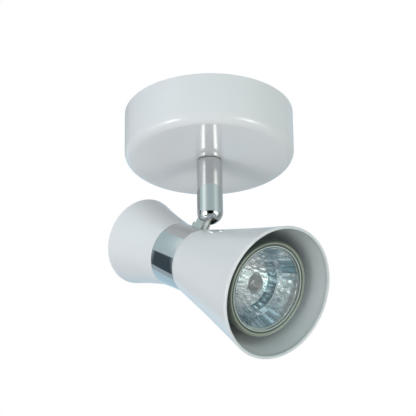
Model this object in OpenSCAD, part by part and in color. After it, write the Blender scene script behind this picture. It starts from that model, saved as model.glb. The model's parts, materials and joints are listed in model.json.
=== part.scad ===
// Adjustable ceiling spotlight with a standard 50 mm twist-and-lock mains lamp.
// The origin is the middle of the ceiling plane, +Z is up and the head faces -Y.
// Two frames serve the head. In the pivot frame the origin is the tilt axis, forward is -Y and
// up is +Z. In the axis frame the origin is the middle of the waist, z runs forward and y up.

/* [Canopy] */
// Outside diameter of the canopy
canopy_d = 90; // [84:1:110]
// Height of the canopy, from the ceiling to its underside
canopy_h = 27.7; // [26.5:0.1:40]
// Outside radius of the canopy's lower edge
canopy_edge = 4.9; // [2.5:0.1:8]
// Thickness of the canopy's sheet
canopy_wall = 1; // [0.7:0.1:1.4]
// Height of the canopy screw below the ceiling
canopy_screw_drop = 10; // [9:0.5:12]

/* [Ceiling strap] */
// Width of the ceiling strap
strap_w = 20; // [16:1:26]
// Thickness of the ceiling strap
strap_t = 1.5; // [1.2:0.1:2]
// Step that keeps the strap's ends off the ceiling
strap_step = 3.5; // [2.5:0.1:5]
// Distance between the middles of the two ceiling screw slots
slot_spacing = 54; // [50:1:56]
// Length of a ceiling screw slot, end to end
slot_len = 11; // [8:0.5:12]
// Width of a ceiling screw slot
slot_w = 4.5; // [3.5:0.1:5]

/* [Stem] */
// Diameter of the stem and of its domed end
stem_d = 13.6; // [13:0.1:16]
// Distance from the canopy's underside to the tilt axis
stem_drop = 30.5; // [26:0.5:60]
// Diameter of the hollow threaded nipple
nipple_d = 10; // [9:0.1:10.5]
// Bore of the nipple
nipple_bore = 6.8; // [5:0.1:7.4]
// Thickness of the pan bush's flange, seen as a dark ring
bush_flange = 0.8; // [0.5:0.1:2]
// Width of the stem nut across its flats
nut_af = 14; // [13:0.5:17]

/* [Knuckle] */
// Thickness of each ear
ear_t = 1; // [0.8:0.05:1.3]
// Free width between the ears
ear_gap = 2.8; // [2.4:0.1:3.4]
// Radius of an ear's round head
ear_r = 4.1; // [3.6:0.1:4.4]
// Diameter of the pivot screw's shank
pivot_d = 3; // [2.5:0.1:3.2]
// Play of the ears in the stem's slot, on each side
slot_play = 0.1; // [0.05:0.01:0.3]
// Diameter of the lamp cable's sleeve
cable_d = 2.1; // [1.6:0.1:2.2]

/* [Head] */
// Distance from the tilt axis down to the head's own axis
head_drop = 27; // [26:0.1:32]
// How far the tilt axis lies ahead of the waist's middle
pivot_ahead = 2.8; // [2:0.1:3.5]
// Angle of the head below the horizon as it is stored
rest_tilt = 32.2; // [0:0.1:45]
// Outside diameter of the chromed waist band
band_d = 34; // [33.4:0.1:36]
// Length of the waist band
band_len = 19.2; // [18.6:0.1:24]
// Thickness of the waist band
band_wall = 1; // [0.6:0.1:1.2]
// Thickness of the spun shade and rear cup
shell_wall = 1; // [0.7:0.1:1.2]
// Diameter of the shade where it meets the band
shade_neck_d = 35.4; // [35:0.1:38]
// Diameter of the shade's mouth
mouth_d = 68.8; // [66:0.2:80]
// Length of the shade ahead of the band
shade_len = 64.5; // [62:0.5:80]
// Diameter of the rear cup where it meets the band
cup_neck_d = 33.8; // [33.4:0.1:37]
// Diameter of the rear cup's flat end
cup_d = 46.9; // [42:0.1:50]
// Length of the rear cup behind the band
cup_len = 30; // [26:0.5:31]

/* [Lamp] */
// Diameter of the lamp's rim
lamp_d = 50; // [48:0.5:51]
// Depth of the lamp's face behind the mouth
lamp_recess = 8.2; // [6:0.1:10]
// Length of the lamp from its face to its foot
lamp_len = 47; // [46:0.5:49]
// Distance between the lamp's two pins
pin_pitch = 10; // [9.6:0.1:10.4]
// Turn that locks the lamp
lock_turn = 25; // [18:1:30]
// Diameter of the cover glass
cover_d = 43.1; // [40:0.1:44]

/* [Hidden] */
$fn = 72;
eps = 0.01;

// Play where a part turns, where a thread fits, where parts meet, and a fastener's play in a hole
running_play = 0.05;
thread_play = 0.02;
seat_play = 0.1;
hole_play = 0.2;

// Canopy and what stands in it, with heights below the ceiling
canopy_r = canopy_d / 2;
canopy_in = canopy_r - canopy_wall;
floor_z = -(canopy_h - canopy_wall);
nipple_r = nipple_d / 2;
bush_wall = 0.9;
bush_bore = nipple_r + running_play;
canopy_hole = bush_bore + bush_wall + running_play;
stem_r = stem_d / 2;
bush_r = stem_r - 0.2;
slip_t = 0.8;
slip_r = nipple_r + 4;
stop_t = 1.2;
stop_r = nipple_r + 3.4;
tab_w = 2.6;
tab_reach = stop_r + 4;
peg_r = 1.2;
peg_at = tab_reach - peg_r - 0.2;
peg_h = slip_t + stop_t + 1.6;
spring_t = 0.9;
spring_r = nipple_r + 3;
nut_t = 3.5;
lock_nut_t = 2.5;
slip_top = floor_z + slip_t;
stop_top = slip_top + running_play + stop_t;
spring_top = stop_top + spring_t;
nut_top = spring_top + nut_t;
lock_top = nut_top + lock_nut_t;
nipple_top = lock_top + 0.8;
gland_flange = 1;
gland_flange_r = (nipple_r + nipple_bore / 2) / 2;
gland_depth = 4;
wire_r = 0.8;
wire_apart = wire_r + seat_play;
cable_top = nipple_top + gland_flange + 0.2;
wire_end = cable_top + 0.3 + wire_r;

// Ceiling strap
strap_end_z = -strap_t - strap_step;
hook_ledge = 5;
joggle_run = 2.5;
joggle_at = canopy_in - hook_ledge - joggle_run - 0.5;
strap_reach = canopy_in - 1.2;
tab_drop = canopy_screw_drop + 4;
canopy_screw_r = 2;
hook_w = 12;
hook_t = 1;
hook_leg = 8;

// Terminal block: three poles side by side, with their wire holes along Y
poles = 3;
pole_pitch = 9.4;
pole_w = 7.6;
block_len = 16;
block_h = 8.4;
block_rib = 6;
wire_hole = 1.5;
wire_z = -strap_t - block_h / 2;
clamp_screw_r = 1.5;
clamp_at = 4.6;
block_screw_r = 1.3;
block_head_r = 2.1;
block_head_t = 1.6;
earth_at = 17.4;
earth_r = 2;

// Stem and tilt axis
stem_top = -canopy_h - bush_flange - running_play;
pivot_z = canopy_h + stem_drop;
thread_depth = 12;
cable_bore = 3;
cable_r = cable_d / 2;
ears_w = ear_gap + 2 * ear_t;
slot_width = ears_w + 2 * slot_play;
cavity_r = ear_r + 0.4;
slot_front = 3.9;
slot_side = -0.5;
relief_h = 0.35;
relief_in = 0.6;
pin_r = pivot_d / 2;
pin_bore = pin_r + running_play;
blind_depth = 3;
screw_head_r = pin_r + 1.2;
screw_head_t = 1.7;
head_sink = stem_r - 0.7;
spacer_r = pin_r + 0.5;

// Ears, as places ahead of the tilt axis and below it
near_front = 0.8;
far_front = 2;
neck_back = ear_r + 0.1;
foot_back = 6.2;
foot_top = 7.9;

// The cable's run beside the far ear: sideways place, lead on the tilt axis, depth in the holder
cable_side = ear_gap / 2 - cable_r - 0.1;
cable_lead = 1.3;
cable_entry = 2.2;

// Waist, as places along the head's axis from the waist's middle
band_r = band_d / 2;
band_in = band_r - band_wall;
half_band = band_len / 2;
band_edge = min(0.5, band_wall / 2);
web_t = 1;
web_top = sqrt(band_in * band_in - pow(ears_w / 2 - slot_side, 2)) - 0.15;
web_low = web_top - web_t;
web_front = pivot_ahead - 0.2;
web_back = -6.5;
foot_aft = pivot_ahead - foot_back;
slot_reach = 4.8;
band_slot_front = pivot_ahead + slot_reach;
spigot_r = band_in - seat_play;
spigot_in = spigot_r - shell_wall;
shade_spigot_end = -1.1;
flange_in = spigot_in - 2.4;
cup_spigot_end = -7;
key_w = 8.6;

// Holder frame, bent from one strip
frame_t = 1;
frame_w = 8;
plate_back = shade_spigot_end + shell_wall;
plate_front = plate_back + frame_t;
leg_low_top = web_low;
leg_high = leg_low_top - frame_t;
leg_bottom = -sqrt(pow(flange_in - seat_play, 2) - frame_w * frame_w / 4);
plate_half = 5;
plate_hole = 2.5;
rear_tab = -14;
tab_top = 6;
bracket_screw_r = 1.5;
bracket_screw_at = -3.8;
small_head_r = 2.7;
small_head_t = 1.9;
holder_screw_r = 1.5;
holder_screw_at = 7.2;
tie_r = 2;
tie_head_r = 3.8;
tie_head_t = 2.4;
dimple_r = tie_head_r + 1.4;
dimple_depth = 3;

// Shade, cup and lamp along the head's axis
mouth_r = mouth_d / 2;
shade_neck = shade_neck_d / 2;
mouth_at = half_band + shade_len;
shade_sag = 0.4;
bead_r = 0.8;
cup_neck = cup_neck_d / 2;
cup_r = cup_d / 2;
cup_end = half_band + cup_len;
cup_sag = 0.5;
vents = 6;
vent_at = (dimple_r + cup_r) / 2 + 1;
vent_w = 3;
vent_arc = 34;
steps = 12;

face_at = mouth_at - lamp_recess;
foot_at = face_at - lamp_len;
holder_front = foot_at - seat_play;
holder_most = 12.2;
holder_r = min(holder_most, leg_high - 0.4);
base_r = 11.8;
neck_r = 9.4;
lip_r = lamp_d / 2;
lip_t = 4;
collar_h = 5;
core_h = 9;
shoulder_h = 12;
bowl_from = foot_at + shoulder_h + 1;
bowl_to = face_at - lip_t;
neck_bore = 5.6;
cover_r = cover_d / 2;
cover_t = 2.4;
glass_t = 1.6;
ledge_r = cover_r - 1;
capsule_r = 5.2;
capsule_turn = 20;
capsule_sink = 4;
capsule_reach = 25;
pinch_w = 7;
pinch_t = 2.6;
pinch_len = 8;
holder_bite = 4.5;
pin_neck_r = 1.5;
pin_head_r = 2.45;
pin_len = 7;
pin_head_len = 2.6;
pin_root = 4;
pin_play = 0.3;
socket_wall = pin_len - pin_head_len - seat_play - 0.2;
spring_strip = 0.6;
spring_gap = 0.3;
socket_depth = pin_len - seat_play + spring_gap + spring_strip;

// Frames

module at_pivot() {
    translate([0, 0, -pivot_z]) rotate([rest_tilt, 0, 0]) children();
}

module on_axis() {
    at_pivot() translate([0, pivot_ahead, -head_drop]) rotate([90, 0, 0]) children();
}

// The knuckle stands beside the stem's middle, so that the cheek with the screw's head is thicker
module beside() {
    translate([slot_side, 0, 0]) children();
}

// Carries an outline drawn forward and up into a plate from x0 to x0 + t
module side_plate(x0, t) {
    translate([x0 + t, 0, 0]) rotate([90, 0, -90]) linear_extrude(t) children();
}

// Plain shapes

module washer(r_in, r_out, z0, t) {
    translate([0, 0, z0]) difference() {
        cylinder(r = r_out, h = t);
        translate([0, 0, -1]) cylinder(r = r_in, h = t + 2);
    }
}

module along_x(x0, x1, r) {
    translate([x0, 0, 0]) rotate([0, 90, 0]) cylinder(r = r, h = x1 - x0);
}

module pan_head_screw(r, len, head_r, head_t) {
    translate([0, 0, -len]) cylinder(r = r, h = len + eps);
    difference() {
        cylinder(r1 = head_r, r2 = head_r * 0.8, h = head_t);
        translate([-head_r, -0.35, head_t - 0.8]) cube([2 * head_r, 0.7, 1]);
    }
}

// A slot with round ends that bends round the axis, from angle a0 to a1
module arc_slot(r_mid, half_w, a0, a1, z0, h) {
    translate([0, 0, z0]) {
        rotate([0, 0, a0]) rotate_extrude(angle = a1 - a0)
            translate([r_mid - half_w, 0]) square([2 * half_w, h]);
        for (a = [a0, a1]) rotate([0, 0, a]) translate([r_mid, 0, 0])
            cylinder(r = half_w - thread_play, h = h);
    }
}

// A tube that follows points in space, with its rings square to the run
function unit(v) = v / norm(v);
function heading(path, i) = unit(
    (i == 0 ? path[1] : path[min(i + 1, len(path) - 1)])
    - (i == 0 ? path[0] : path[i - 1])
);
function ring_points(p, t, r, sides) =
    let (side = unit(cross(t, [1, 0, 0])), up = cross(side, t))
    [for (k = [0 : sides - 1]) p + r * (cos(360 * k / sides) * up + sin(360 * k / sides) * side)];
module swept_tube(path, r, sides = 8) {
    count = len(path);
    points = [for (i = [0 : count - 1]) each ring_points(path[i], heading(path, i), r, sides)];
    walls = [
        for (i = [0 : count - 2], k = [0 : sides - 1], half = [0, 1])
        let (a = i * sides + k, b = i * sides + (k + 1) % sides)
        half == 0 ? [a, b, b + sides] : [a, b + sides, a + sides]
    ];
    caps = [
        [for (k = [sides - 1 : -1 : 0]) k],
        [for (k = [0 : sides - 1]) (count - 1) * sides + k]
    ];
    polyhedron(points = points, faces = concat(walls, caps));
}

// A curve through four control points
function bezier(a, b, c, d, t) =
    pow(1 - t, 3) * a + 3 * pow(1 - t, 2) * t * b + 3 * (1 - t) * t * t * c + pow(t, 3) * d;
function bezier_run(a, b, c, d, n) = [for (i = [0 : n]) bezier(a, b, c, d, i / n)];

// Spun shells: a flare from radius r0 to r1 that sags inwards a little

function flare(r0, r1, sag, u) = r0 + (r1 - r0) * u - 4 * sag * u * (1 - u);
function flare_run(r0, r1, sag, z0, z1) =
    [for (i = [0 : steps]) [flare(r0, r1, sag, i / steps), z0 + (z1 - z0) * i / steps]];
function back_again(run) = [for (i = [len(run) - 1 : -1 : 0]) run[i]];

// Canopy

module cup_section(r, h, edge) {
    translate([0, -h + edge]) square([r, h - edge + eps]);
    translate([0, -h]) square([r - edge, h]);
    translate([r - edge, -h + edge]) circle(r = edge);
}

module canopy() {
    color("white") difference() {
        rotate_extrude() intersection() {
            cup_section(canopy_r, canopy_h, canopy_edge);
            translate([0, -canopy_h - 1]) square([canopy_r + 1, canopy_h + 1]);
        }
        rotate_extrude() intersection() {
            cup_section(canopy_in, canopy_h - canopy_wall, canopy_edge - canopy_wall);
            translate([0, -canopy_h - 1]) square([canopy_r + 1, canopy_h + 1 + eps]);
        }
        translate([0, 0, -canopy_h - 1]) cylinder(r = canopy_hole, h = 2 + canopy_wall);
        translate([0, 0, -canopy_screw_drop])
            along_x(canopy_in - 2, canopy_r + 1, canopy_screw_r + hole_play);
    }
}

// The strap is flat on the ceiling in its middle and stepped down at both ends. One end slides
// over the canopy's hook and the other is bent down and tapped for the canopy screw.
module ceiling_strap() {
    outline = [
        [-strap_reach + hook_t, strap_end_z], [-joggle_at - joggle_run, strap_end_z],
        [-joggle_at, -strap_t], [joggle_at, -strap_t],
        [joggle_at + joggle_run, strap_end_z], [strap_reach - strap_t, strap_end_z],
        [strap_reach - strap_t, -tab_drop], [strap_reach, -tab_drop],
        [strap_reach, -strap_step], [joggle_at + joggle_run, -strap_step],
        [joggle_at, 0], [-joggle_at, 0],
        [-joggle_at - joggle_run, -strap_step], [-strap_reach + hook_t, -strap_step]
    ];
    color("silver") difference() {
        translate([0, strap_w / 2, 0]) rotate([90, 0, 0]) linear_extrude(strap_w)
            polygon(outline);
        for (side = [-1, 1]) translate([side * slot_spacing / 2, 0, -strap_t - 1]) {
            for (end = [-1, 1]) translate([end * (slot_len - slot_w) / 2, 0, 0])
                cylinder(r = slot_w / 2, h = strap_t + 2);
            translate([-(slot_len - slot_w) / 2, -slot_w / 2, 0])
                cube([slot_len - slot_w, slot_w, strap_t + 2]);
        }
        translate([0, 0, -canopy_screw_drop])
            along_x(strap_reach - strap_t - 1, strap_reach + 1, canopy_screw_r + thread_play);
        translate([earth_at, 0, -strap_t - 1])
            cylinder(r = earth_r + thread_play, h = strap_t + 2);
        for (side = [-1, 1]) translate([side * pole_pitch / 2, 0, -strap_t - 1])
            cylinder(r = block_screw_r + thread_play, h = strap_t + 2);
    }
}

// Welded inside the canopy: its ledge lies on top of the strap's stepped end
module canopy_hook() {
    ledge_z = -strap_step + seat_play;
    color("silver") intersection() {
        union() {
            translate([-canopy_r, -hook_w / 2, ledge_z - hook_leg])
                cube([canopy_r - canopy_in + 1.6, hook_w, hook_leg]);
            translate([-canopy_in, -hook_w / 2, ledge_z]) cube([hook_ledge, hook_w, hook_t]);
        }
        difference() {
            translate([0, 0, -canopy_h]) cylinder(r = canopy_in - thread_play, h = canopy_h);
            translate([0, 0, -canopy_h - 1])
                cylinder(r = canopy_in - hook_t, h = ledge_z + canopy_h + 1);
        }
    }
}

module canopy_screw() {
    head_t = 1.6;
    color("white") translate([canopy_r + seat_play / 2, 0, -canopy_screw_drop])
        rotate([0, 90, 0])
        pan_head_screw(canopy_screw_r, canopy_r - strap_reach + strap_t + 1.5, 3.6, head_t);
}

module pole_places() {
    for (i = [0 : poles - 1]) translate([(i - (poles - 1) / 2) * pole_pitch, 0, 0]) children();
}

module terminal_block() {
    color("ivory") difference() {
        union() {
            pole_places() translate([-pole_w / 2, -block_len / 2, -strap_t - block_h])
                cube([pole_w, block_len, block_h]);
            pole_places() for (s = [-1, 1])
                translate([0, s * clamp_at, -strap_t - block_h - 1.2])
                    cylinder(r = clamp_screw_r + 1.2, h = 2);
            translate([-pole_pitch, -block_rib / 2, -strap_t - block_h / 2])
                cube([(poles - 1) * pole_pitch, block_rib, block_h / 2]);
        }
        pole_places() translate([0, 0, wire_z]) rotate([90, 0, 0])
            cylinder(r = wire_hole + 0.7, h = block_len + 2, center = true);
        pole_places() for (s = [-1, 1])
            translate([0, s * clamp_at, -strap_t - block_h - 2])
                cylinder(r = clamp_screw_r + hole_play, h = block_h / 2 + 1);
        for (side = [-1, 1]) translate([side * pole_pitch / 2, 0, -strap_t - block_h])
            cylinder(r = block_screw_r + seat_play, h = block_h + 1);
        for (side = [-1, 1]) translate([side * pole_pitch / 2, 0, -strap_t - block_h - 1])
            cylinder(r = block_head_r + hole_play, h = block_h / 2 + 1);
    }
}

// Brass tubes in the block that the wires are clamped in
module terminal_clamps() {
    color("gold") pole_places() difference() {
        translate([0, 0, wire_z]) rotate([90, 0, 0])
            cylinder(r = wire_hole + 0.6, h = block_len - 2, center = true);
        translate([0, 0, wire_z]) rotate([90, 0, 0])
            cylinder(r = wire_hole, h = block_len + 2, center = true);
        for (s = [-1, 1]) translate([0, s * clamp_at, -strap_t - block_h])
            cylinder(r = clamp_screw_r + thread_play, h = block_h / 2);
    }
}

module terminal_screws() {
    color("silver") pole_places() for (s = [-1, 1]) difference() {
        translate([0, s * clamp_at, -strap_t - block_h - 0.8])
            cylinder(r = clamp_screw_r, h = block_h / 2 - 0.2);
        translate([-2, s * clamp_at - 0.3, -strap_t - block_h - 1.8]) cube([4, 0.6, 1.7]);
    }
}

module block_screws() {
    head_z = -strap_t - block_h / 2;
    color("silver") for (side = [-1, 1]) translate([side * pole_pitch / 2, 0, head_z])
        rotate([180, 0, 0])
        pan_head_screw(block_screw_r, block_h / 2 + strap_t - 0.2, block_head_r, block_head_t);
}

module earth_screw() {
    color("gold") translate([earth_at, 0, -strap_t]) rotate([180, 0, 0])
        pan_head_screw(earth_r, strap_t - 0.1, 3.6, 2.4);
}

// Two insulated wires from the block's poles to the mouth of the hollow nipple
module canopy_wires() {
    for (side = [-1, 1]) {
        pole_x = side * pole_pitch;
        color(side < 0 ? "saddlebrown" : "royalblue") swept_tube(
            concat(
                [[pole_x, -clamp_at, wire_z]],
                bezier_run([pole_x, -block_len / 2 - wire_r, wire_z],
                    [pole_x, -block_len, wire_z],
                    [side * wire_apart, -block_len / 2 - 1, wire_end],
                    [side * wire_apart, -3 * wire_r, wire_end], 12),
                [[side * wire_apart, -wire_r / 2, wire_end]]
            ), wire_r);
    }
}

module pan_bush() {
    color("gainsboro") rotate_extrude() {
        translate([bush_bore, -canopy_h - bush_flange]) square([bush_r - bush_bore, bush_flange]);
        translate([bush_bore, -canopy_h - eps])
            square([canopy_hole - running_play - bush_bore, canopy_wall + eps]);
    }
}

module slip_washer() {
    color("tan") washer(bush_bore, slip_r, floor_z, slip_t);
}

module stop_peg() {
    color("silver") translate([0, peg_at, floor_z]) cylinder(r = peg_r, h = peg_h);
}

// Turning parts on the nipple

module stop_washer() {
    color("silver") translate([0, 0, slip_top + running_play]) difference() {
        union() {
            cylinder(r = stop_r, h = stop_t);
            translate([-tab_w / 2, -tab_reach, 0]) cube([tab_w, tab_reach, stop_t]);
        }
        translate([0, 0, -1]) cylinder(r = nipple_r + thread_play, h = stop_t + 2);
    }
}

module spring_washer() {
    split = 1.4;
    color("dimgray") difference() {
        washer(nipple_r + running_play, spring_r, stop_top, spring_t);
        translate([0, -split / 2, stop_top - 1]) cube([spring_r + 1, split, spring_t + 2]);
    }
}

module hex_nut(z0, t) {
    translate([0, 0, z0]) difference() {
        cylinder(r = nut_af / sqrt(3), h = t, $fn = 6);
        translate([0, 0, -1]) cylinder(r = nipple_r + thread_play, h = t + 2);
    }
}

module stem_nut() {
    color("gold") hex_nut(spring_top, nut_t);
}

module lock_nut() {
    color("gold") hex_nut(nut_top, lock_nut_t);
}

module nipple() {
    low = stem_top - thread_depth + 1;
    color("gold") washer(nipple_bore / 2, nipple_r, low, nipple_top - low);
}

// Plastic bush in the nipple's mouth that holds the cable off the thread
module cable_gland() {
    color("white") difference() {
        union() {
            translate([0, 0, nipple_top]) cylinder(r = gland_flange_r, h = gland_flange);
            translate([0, 0, nipple_top - gland_depth])
                cylinder(r = nipple_bore / 2 - running_play, h = gland_depth + eps);
        }
        translate([0, 0, nipple_top - gland_depth - 1])
            cylinder(r = cable_r + seat_play / 2, h = gland_depth + gland_flange + 2);
    }
}

// The stem is turned from bar and ends in a dome round the tilt axis. Its slot is open below
// and behind, and a web of metal stays in front, where the ears come to rest as the head rises.
module stem() {
    pivot_at = -pivot_z;
    color("gainsboro") difference() {
        rotate_extrude() union() {
            translate([0, pivot_at]) square([stem_r, stem_top - relief_h - pivot_at]);
            translate([0, pivot_at]) square([stem_r - relief_in, stem_top - pivot_at]);
            intersection() {
                translate([0, pivot_at]) circle(r = stem_r);
                translate([0, pivot_at - stem_r - 1]) square([stem_r + 1, stem_r + 1 + eps]);
            }
        }
        translate([0, 0, stem_top - thread_depth])
            cylinder(r = nipple_r + thread_play, h = thread_depth + 1);
        translate([0, 0, pivot_at]) cylinder(r = cable_bore, h = stem_drop);
        beside() translate([-slot_width / 2, -slot_front, pivot_at - stem_r - 1])
            cube([slot_width, slot_front + stem_r + 1, stem_r + 1]);
        beside() translate([-slot_width / 2, 0, pivot_at - eps])
            cube([slot_width, stem_r + 1, cavity_r + eps]);
        beside() translate([0, 0, pivot_at]) along_x(-slot_width / 2, slot_width / 2, cavity_r);
        translate([0, 0, pivot_at])
            along_x(slot_side - slot_width / 2 - blind_depth, 0, pin_r + thread_play);
        translate([0, 0, pivot_at]) along_x(0, stem_r + 1, pin_r + thread_play);
        translate([0, 0, pivot_at])
            along_x(head_sink - screw_head_t - seat_play, stem_r + 1, screw_head_r + hole_play);
    }
}

module stem_cable() {
    low = -pivot_z + cavity_r + 0.2;
    color("whitesmoke") translate([0, 0, low]) cylinder(r = cable_r, h = cable_top - low);
}

module pivot_screw() {
    head_from = head_sink - screw_head_t;
    color("silver") translate([0, 0, -pivot_z]) difference() {
        union() {
            along_x(slot_side - slot_width / 2 - blind_depth + 0.3, head_from + eps, pin_r);
            along_x(head_from, head_sink, screw_head_r);
        }
        translate([head_sink - 0.8, -screw_head_r, -0.35]) cube([1, 2 * screw_head_r, 0.7]);
    }
}

// Knuckle, in the pivot frame

module pivot_spacer() {
    half = ear_gap / 2 - running_play;
    color("gold") at_pivot() beside() difference() {
        along_x(-half, half, spacer_r);
        along_x(-half - 1, half + 1, pin_bore);
    }
}

module ear_outline(front) {
    foot_low = head_drop - web_low;
    difference() {
        union() {
            circle(r = ear_r);
            translate([-neck_back, -foot_top - eps])
                square([neck_back + front, foot_top + eps]);
            translate([-foot_back, -foot_low])
                square([foot_back + front, foot_low - foot_top]);
        }
        circle(r = pin_bore);
    }
}

module knuckle_bracket() {
    color("lightgray") {
        difference() {
            union() {
                at_pivot() beside() side_plate(-ears_w / 2, ear_t) ear_outline(near_front);
                at_pivot() beside() side_plate(ear_gap / 2, ear_t) ear_outline(far_front);
                on_axis() beside() translate([-ears_w / 2, web_low, web_back])
                    cube([ears_w, web_t, web_front - web_back]);
            }
            on_axis() beside() translate([0, web_low - 1, bracket_screw_at]) rotate([-90, 0, 0])
                cylinder(r = bracket_screw_r + thread_play, h = web_t + 2);
        }
    }
}

// The cable passes ahead of the spacer, between the ears and into the side of the lamp holder.
// Its places are ahead of the tilt axis and above it.
module head_cable() {
    start = spacer_r + cable_r + 0.1;
    low = -2.4 * start;
    far = holder_r - cable_entry - head_drop;
    color("whitesmoke") at_pivot() beside() swept_tube(
        concat(
            [for (a = [20 : -20 : -40]) [cable_side, -start * cos(a), start * sin(a)]],
            bezier_run([cable_side, -0.6 * start, -0.95 * start],
                [cable_side, -cable_lead, -1.33 * start],
                [cable_side, -cable_lead, -1.6 * start], [cable_side, -cable_lead, low], 5),
            [[cable_side, -cable_lead, (far + low) / 2], [cable_side, -cable_lead, far]]
        ), cable_r, 12);
}

// Head shells, in the axis frame

module rounded_bar(w, h, r) {
    translate([0, r]) square([w, h - 2 * r]);
    square([w - r, h]);
    translate([w - r, r]) circle(r = r);
    translate([w - r, h - r]) circle(r = r);
}

module waist_band() {
    color("gainsboro") on_axis() difference() {
        rotate_extrude() translate([band_in, -half_band])
            rounded_bar(band_wall, band_len, band_edge);
        beside() translate([-ears_w / 2 - hole_play, 0, foot_aft - hole_play])
            cube([ears_w + 2 * hole_play, band_r + 1, band_slot_front - foot_aft + hole_play]);
    }
}

module front_shade() {
    outer = flare_run(shade_neck, mouth_r, shade_sag, half_band, mouth_at - bead_r);
    inner = flare_run(shade_neck - shell_wall, mouth_r - shell_wall, shade_sag,
        half_band + shell_wall, mouth_at - bead_r);
    color("white") on_axis() difference() {
        rotate_extrude() {
            polygon(concat(outer, back_again(inner)));
            translate([mouth_r - bead_r, mouth_at - bead_r]) circle(r = bead_r);
            translate([spigot_in, half_band])
                square([shade_neck - shell_wall / 2 - spigot_in, shell_wall]);
            translate([spigot_in, shade_spigot_end])
                square([shell_wall, half_band + shell_wall - shade_spigot_end]);
            translate([flange_in, shade_spigot_end]) square([spigot_r - flange_in, shell_wall]);
        }
        translate([-key_w / 2, 0, shade_spigot_end - 1])
            cube([key_w, spigot_r + seat_play, band_slot_front - shade_spigot_end + 1]);
    }
}

module rear_cup() {
    outer = flare_run(cup_neck, cup_r, cup_sag, -half_band, -cup_end);
    inner = flare_run(cup_neck - shell_wall, cup_r - shell_wall, cup_sag,
        -half_band - shell_wall, -cup_end + shell_wall);
    color("white") on_axis() difference() {
        rotate_extrude() {
            polygon(concat(inner, [[dimple_r, -cup_end + shell_wall], [dimple_r, -cup_end]],
                back_again(outer)));
            translate([dimple_r, -cup_end]) square([shell_wall, dimple_depth + shell_wall]);
            translate([0, -cup_end + dimple_depth]) square([dimple_r + shell_wall, shell_wall]);
            translate([spigot_in, -half_band - shell_wall])
                square([cup_neck - shell_wall / 2 - spigot_in, shell_wall]);
            translate([spigot_in, -half_band - shell_wall])
                square([shell_wall, cup_spigot_end + half_band + shell_wall]);
        }
        translate([0, 0, -cup_end - 1])
            cylinder(r = tie_r + hole_play, h = dimple_depth + shell_wall + 2);
        for (i = [0 : vents - 1]) rotate([0, 0, 360 * (i + 0.5) / vents])
            arc_slot(vent_at, vent_w / 2, -vent_arc / 2, vent_arc / 2, -cup_end - 1,
                shell_wall + 2);
    }
}

// One strip: a leg above for the knuckle, a cross plate for the holder, a leg below and a
// tapped tab behind, which the tie screw draws back so that shade, band and cup are clamped
module holder_frame() {
    color("silver") on_axis() difference() {
        union() {
            translate([-frame_w / 2, leg_high, web_back - 0.3])
                cube([frame_w, frame_t, plate_front - web_back + 0.3]);
            translate([-frame_w / 2, leg_bottom, plate_back])
                cube([frame_w, leg_low_top - leg_bottom, frame_t]);
            intersection() {
                translate([-band_r, -plate_half, plate_back])
                    cube([2 * band_r, 2 * plate_half, frame_t]);
                translate([0, 0, plate_back]) cylinder(r = spigot_in - 0.3, h = frame_t);
            }
            translate([-frame_w / 2, leg_bottom, rear_tab])
                cube([frame_w, frame_t, plate_front - rear_tab]);
            translate([-frame_w / 2, leg_bottom, rear_tab])
                cube([frame_w, tab_top - leg_bottom, frame_t]);
        }
        beside() translate([0, leg_high - 1, bracket_screw_at]) rotate([-90, 0, 0])
            cylinder(r = bracket_screw_r + hole_play, h = frame_t + 2);
        for (s = [-1, 1]) translate([0, s * holder_screw_at, plate_back - 1])
            cylinder(r = holder_screw_r + hole_play, h = frame_t + 2);
        translate([0, 0, rear_tab - 1]) cylinder(r = tie_r + thread_play, h = frame_t + 2);
        translate([0, 0, plate_back - 1]) cylinder(r = plate_hole, h = frame_t + 2);
    }
}

module bracket_screw() {
    color("silver") on_axis() beside() translate([0, leg_high, bracket_screw_at])
        rotate([90, 0, 0])
        pan_head_screw(bracket_screw_r, frame_t + web_t, small_head_r, small_head_t);
}

module tie_screw() {
    head_at = -cup_end + dimple_depth;
    color("silver") on_axis() translate([0, 0, head_at]) rotate([180, 0, 0])
        pan_head_screw(tie_r, rear_tab + frame_t + 1 - head_at, tie_head_r, tie_head_t);
}

// The ceramic holder: each pin enters a round hole and turns under the front wall, in a groove
// that is narrow in the wall and wide behind it
module lamp_holder() {
    color("ivory") on_axis() difference() {
        translate([0, 0, plate_front]) cylinder(r = holder_r, h = holder_front - plate_front);
        for (side = [0, 180]) rotate([0, 0, side]) {
            arc_slot(pin_pitch / 2, pin_neck_r + pin_play, 0, lock_turn,
                holder_front - socket_wall - 1, socket_wall + 2);
            rotate([0, 0, lock_turn]) translate([pin_pitch / 2, 0, holder_front - socket_wall - 1])
                cylinder(r = pin_head_r + pin_play - running_play, h = socket_wall + 2);
            arc_slot(pin_pitch / 2, pin_head_r + pin_play, 0, lock_turn,
                holder_front - socket_depth, socket_depth - socket_wall);
        }
        for (s = [-1, 1]) translate([0, s * holder_screw_at, plate_front - 1])
            cylinder(r = holder_screw_r + thread_play, h = holder_bite + 1.5);
        beside() translate([cable_side, holder_r - cable_entry - 0.2, pivot_ahead + cable_lead])
            rotate([-90, 0, 0]) cylinder(r = cable_r + seat_play, h = 4);
    }
}

module holder_screws() {
    color("silver") on_axis() for (s = [-1, 1])
        translate([0, s * holder_screw_at, plate_back]) rotate([180, 0, 0])
            pan_head_screw(holder_screw_r, frame_t + holder_bite, small_head_r, small_head_t);
}

// A flat spring behind each pin, at the bottom of its groove
module contact_springs() {
    deep = holder_front - socket_depth;
    color("gold") on_axis() for (side = [0, 180]) rotate([0, 0, side])
        arc_slot(pin_pitch / 2, pin_head_r - 0.2, 0, lock_turn, deep, spring_strip);
}

// Lamp, in the axis frame

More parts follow.
